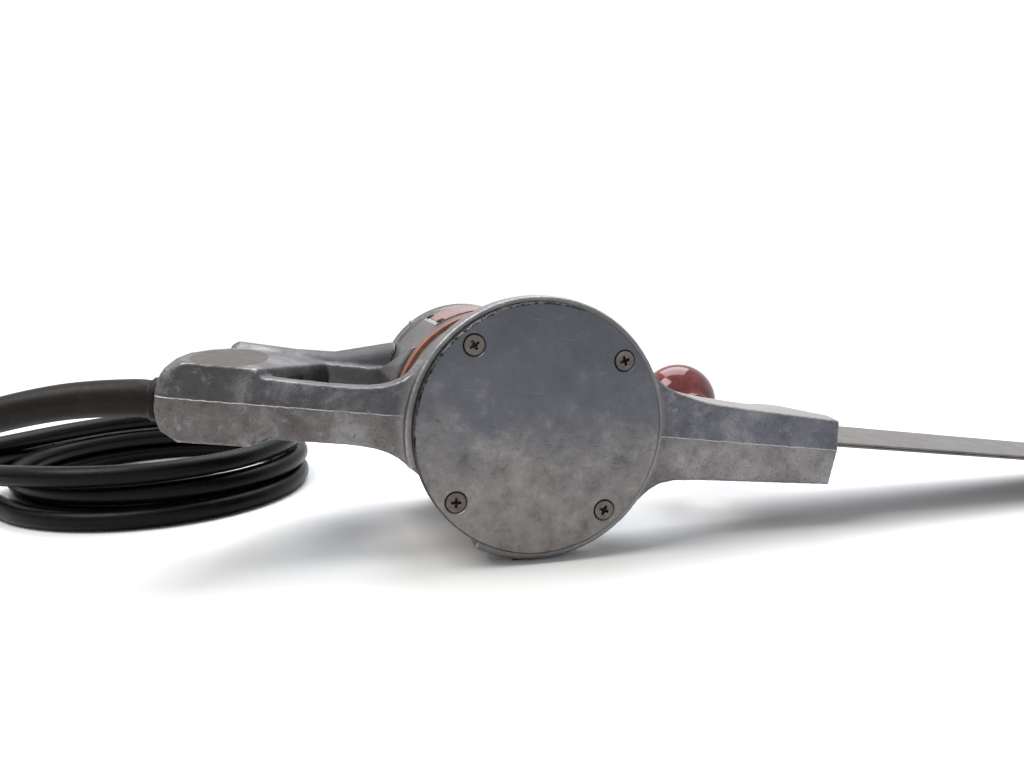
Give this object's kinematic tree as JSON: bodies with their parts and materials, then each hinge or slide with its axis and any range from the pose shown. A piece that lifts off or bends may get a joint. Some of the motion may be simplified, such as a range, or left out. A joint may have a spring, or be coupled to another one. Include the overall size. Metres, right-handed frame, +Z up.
{
  "type": "corded power cutter with side knob and two long flat blades",
  "caption": "Corded power cutter: cast aluminium body with D-handle and round gear cover, side knob, motor behind, and two long flat blades sliding on each other.",
  "frame": {"origin": "on the table, under the middle of the front rubber foot's bearing face (x = 0 is the gear cover's centre)", "axes": "+X level along the blades, from the handle towards the tip; +Y level along the drive axis, from the gear cover towards the motor; +Z up"},
  "size_m": [0.9394, 0.2981, 0.1322],
  "materials": {
    "cover_aluminium": "smooth, dull, lightly scratched",
    "cast_aluminium": "die cast, dull, worn",
    "screw_steel": "oxidised steel",
    "gasket": "black gasket sheet",
    "ring_fibre": "red-brown vulcanised fibre",
    "bright_steel": "ground",
    "blade_steel": "satin, brushed along its length",
    "core_steel": "varnished laminations",
    "copper": "copper",
    "bronze": "sintered bronze",
    "brown_plastic": "phenolic",
    "black_plastic": "moulded",
    "carbon": "carbon",
    "knob_plastic": "glossy dark red",
    "plate_paint": "faded red",
    "sleeve_rubber": "matt",
    "cord_rubber": "satin",
    "pin_brass": "polished"
  },
  "bodies": {
    "tool": {"gear_cover": "cover_aluminium", "cover_screws": "screw_steel", "cover_gasket": "gasket", "gear_case": "cast_aluminium", "case_ring": "ring_fibre", "bearing_plate": "cast_aluminium", "motor_housing": "cast_aluminium", "housing_screws": "screw_steel", "end_cap": "cast_aluminium", "end_cap_screws": "screw_steel", "front_bearing": "bright_steel", "rear_bearing": "bright_steel", "field_core": "core_steel", "field_coils": "copper", "brush_holders": "brown_plastic", "carbon_brushes": "carbon", "brush_springs": "bright_steel", "brush_caps": "black_plastic", "gear_bush": "bronze", "yoke_guide": "bronze", "fixed_blade": "blade_steel", "blade_screws": "screw_steel", "knob": "knob_plastic", "knob_stud": "bright_steel", "knob_nut": "screw_steel", "handle_cover": "cast_aluminium", "handle_screws": "screw_steel", "nameplate": "plate_paint", "nameplate_rivets": "screw_steel", "trigger_spring": "bright_steel", "switch_body": "black_plastic", "cord_clamp": "bright_steel", "cord_sleeve": "sleeve_rubber", "front_foot": "sleeve_rubber", "rear_foot": "sleeve_rubber", "cord_lead": "cord_rubber", "cord_coil": "cord_rubber", "cord_tail": "cord_rubber", "plug_body": "cord_rubber", "plug_pins": "pin_brass"},
    "armature": {"armature_shaft": "bright_steel", "armature_core": "core_steel", "armature_winding": "copper", "commutator": "copper", "cooling_fan": "cast_aluminium", "motor_pinion": "bright_steel"},
    "gear": {"drive_gear": "bright_steel", "gear_shaft": "bright_steel", "crank_pin": "bright_steel"},
    "blade": {"drive_yoke": "bright_steel", "moving_blade": "blade_steel", "blade_rivets": "screw_steel"},
    "trigger_body": {"trigger": "black_plastic"}
  },
  "joints": [
    {"name": "armature_spin", "type": "hinge", "parent": "tool", "child": "armature", "pos_m": [-0.01706, -0.018, 0.07369], "axis": [0, 1, 0], "continuous": true},
    {"name": "gear_spin", "type": "hinge", "parent": "tool", "child": "gear", "pos_m": [0.00675, -0.018, 0.07068], "axis": [0, 1, 0], "continuous": true},
    {"name": "blade_slide", "type": "slide", "parent": "tool", "child": "blade", "axis": [0.9921, 0, -0.1253], "range_m": [-0.01, 0.01]},
    {"name": "trigger_pull", "type": "slide", "parent": "tool", "child": "trigger_body", "axis": [-0.9287, 0.3518, 0.1173], "range_m": [0, 0.005], "stiffness_N_per_m": 600, "springref_m": -0.003, "deforming": ["trigger_spring"]}
  ],
  "couplings": [
    {"joint": "gear_spin", "follows": "armature_spin", "ratio": -0.26316}
  ]
}
